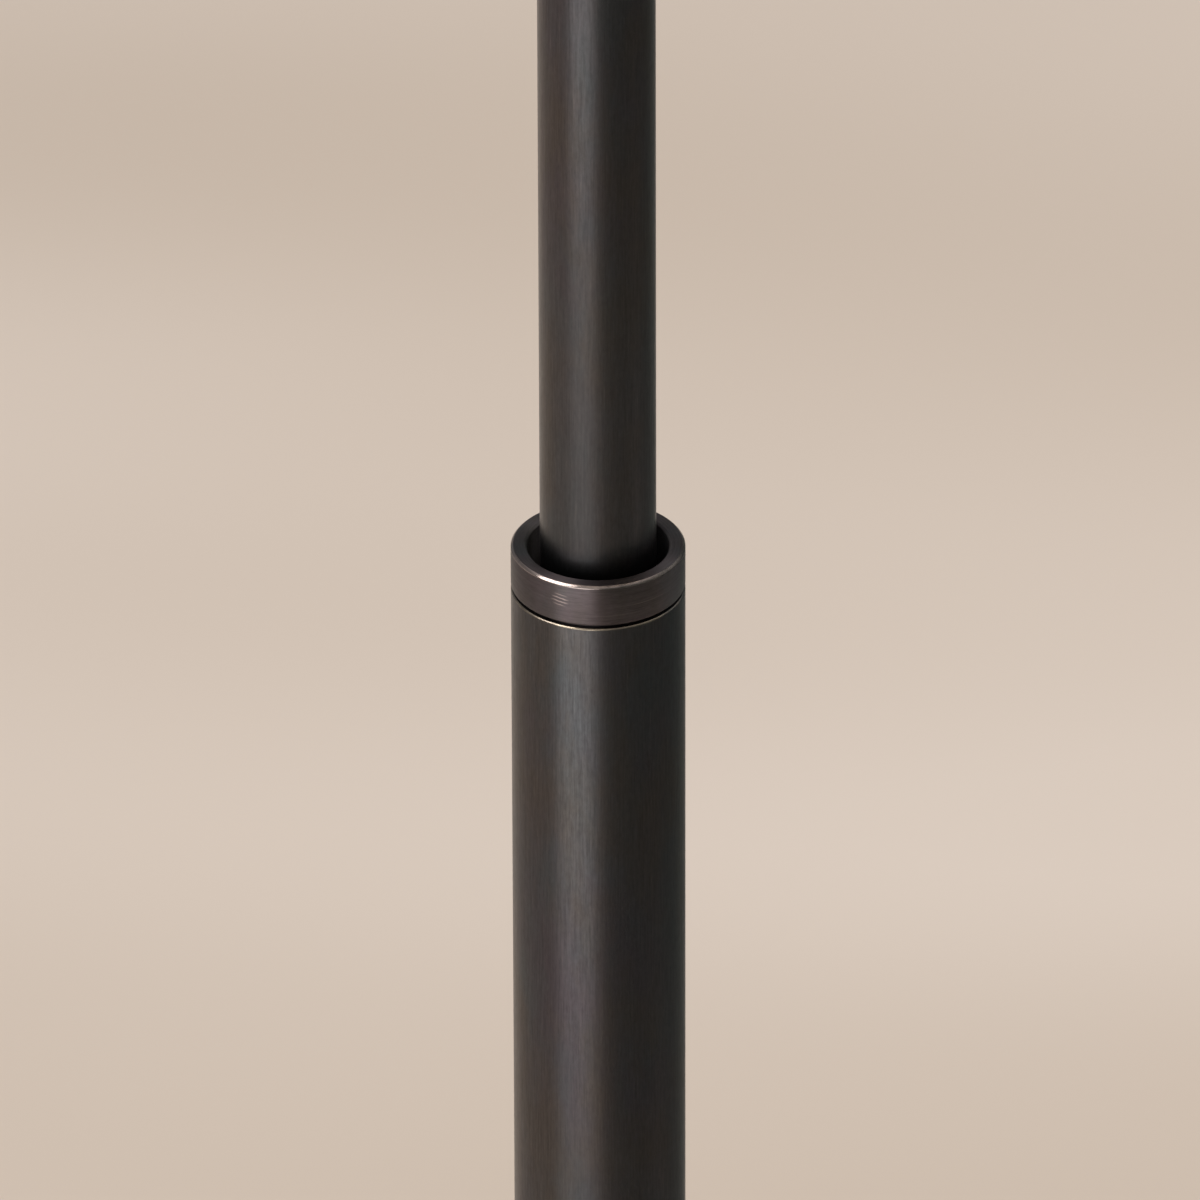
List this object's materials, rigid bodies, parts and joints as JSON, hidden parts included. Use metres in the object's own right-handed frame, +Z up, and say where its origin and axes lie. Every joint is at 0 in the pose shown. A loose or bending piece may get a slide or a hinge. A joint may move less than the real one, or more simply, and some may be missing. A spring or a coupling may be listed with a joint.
{
  "type": "telescopic floor lamp",
  "caption": "Floor lamp with a heavy round base, a dark bronze stem whose inner tube slides and turns in an outer tube, a turn-knob lampholder and a linen drum shade on a harp.",
  "frame": {"origin": "on the floor, on the axis of the stem", "axes": "+Z up along the stem, -Y the front with the switch knob, +Y the back with the cord inlet"},
  "size_m": [0.4013, 0.4014, 1.4273],
  "materials": {
    "felt": "pressed wool felt",
    "casting": "rough casting, thin black paint",
    "bronze_base": "spun steel in a dark bronze finish, satin",
    "bronze": "dark patinated brass, brushed lengthwise, satin",
    "bronze_turned": "dark patinated brass, turned, satin",
    "brass_plain": "turned, unfinished",
    "steel_zinc": "zinc plated",
    "rubber": "moulded black rubber",
    "plastic_black": "turned black acetal",
    "plastic_white": "turned natural acetal",
    "harp_bronze": "antique bronze plate, satin",
    "holder_bronze": "drawn sheet in an antique finish",
    "fibre": "vulcanised fibre sheet",
    "phenolic": "moulded phenolic resin",
    "knob": "moulded, half gloss",
    "brass_parts": "bright",
    "bulb_metal": "bright, pressed",
    "bulb_glass": "frosted inside",
    "frame_wire": "antique nickel plate",
    "shade_lining": "white styrene sheet",
    "linen": "plain woven oatmeal linen",
    "linen_trim": "folded linen tape"
  },
  "bodies": {
    "base": {"base_pad": "felt", "base_weight": "casting", "base_cover": "bronze_base", "cord_grommet": "rubber", "base_washer": "steel_zinc", "base_nut": "steel_zinc", "base_nipple": "steel_zinc", "stem_seat": "bronze_turned", "stem_plug": "brass_plain", "outer_tube": "bronze", "collar": "bronze_turned", "guide_bush": "plastic_black"},
    "slider": {"friction_sleeve": "plastic_white", "friction_rings": "rubber"},
    "mast": {"inner_tube": "bronze", "shoulder_ring": "brass_plain", "foot_ring": "brass_plain", "wire_bush": "plastic_white", "mast_cap": "bronze_turned", "mast_nipple": "steel_zinc", "harp_saddle": "harp_bronze", "harp": "harp_bronze", "harp_ferrules": "harp_bronze", "holder_cap": "holder_bronze", "holder_shell": "holder_bronze", "holder_liner": "fibre", "switch_block": "phenolic", "terminal_screws": "brass_parts", "screw_shell": "brass_parts", "centre_contact": "brass_parts", "bulb_cap": "bulb_metal", "bulb_glass": "bulb_glass", "shade_spider": "frame_wire", "shade_top_ring": "frame_wire", "shade_bottom_ring": "frame_wire", "shade_liner": "shade_lining", "shade_skin": "linen", "shade_top_trim": "linen_trim", "shade_bottom_trim": "linen_trim", "finial": "bronze_turned"},
    "switch_knob_body": {"switch_shaft": "steel_zinc", "switch_knob": "knob"}
  },
  "joints": [
    {"name": "stem_slide", "type": "slide", "parent": "base", "child": "slider", "axis": [0, 0, 1], "range_m": [-0.3996, 0.15]},
    {"name": "stem_swivel", "type": "hinge", "parent": "slider", "child": "mast", "pos_m": [0, 0, 0.6], "axis": [0, 0, 1], "range_deg": [-150, 150]},
    {"name": "knob_turn", "type": "hinge", "parent": "mast", "child": "switch_knob_body", "pos_m": [0, -0.0237, 1.2415], "axis": [0, -1, 0], "continuous": true}
  ]
}
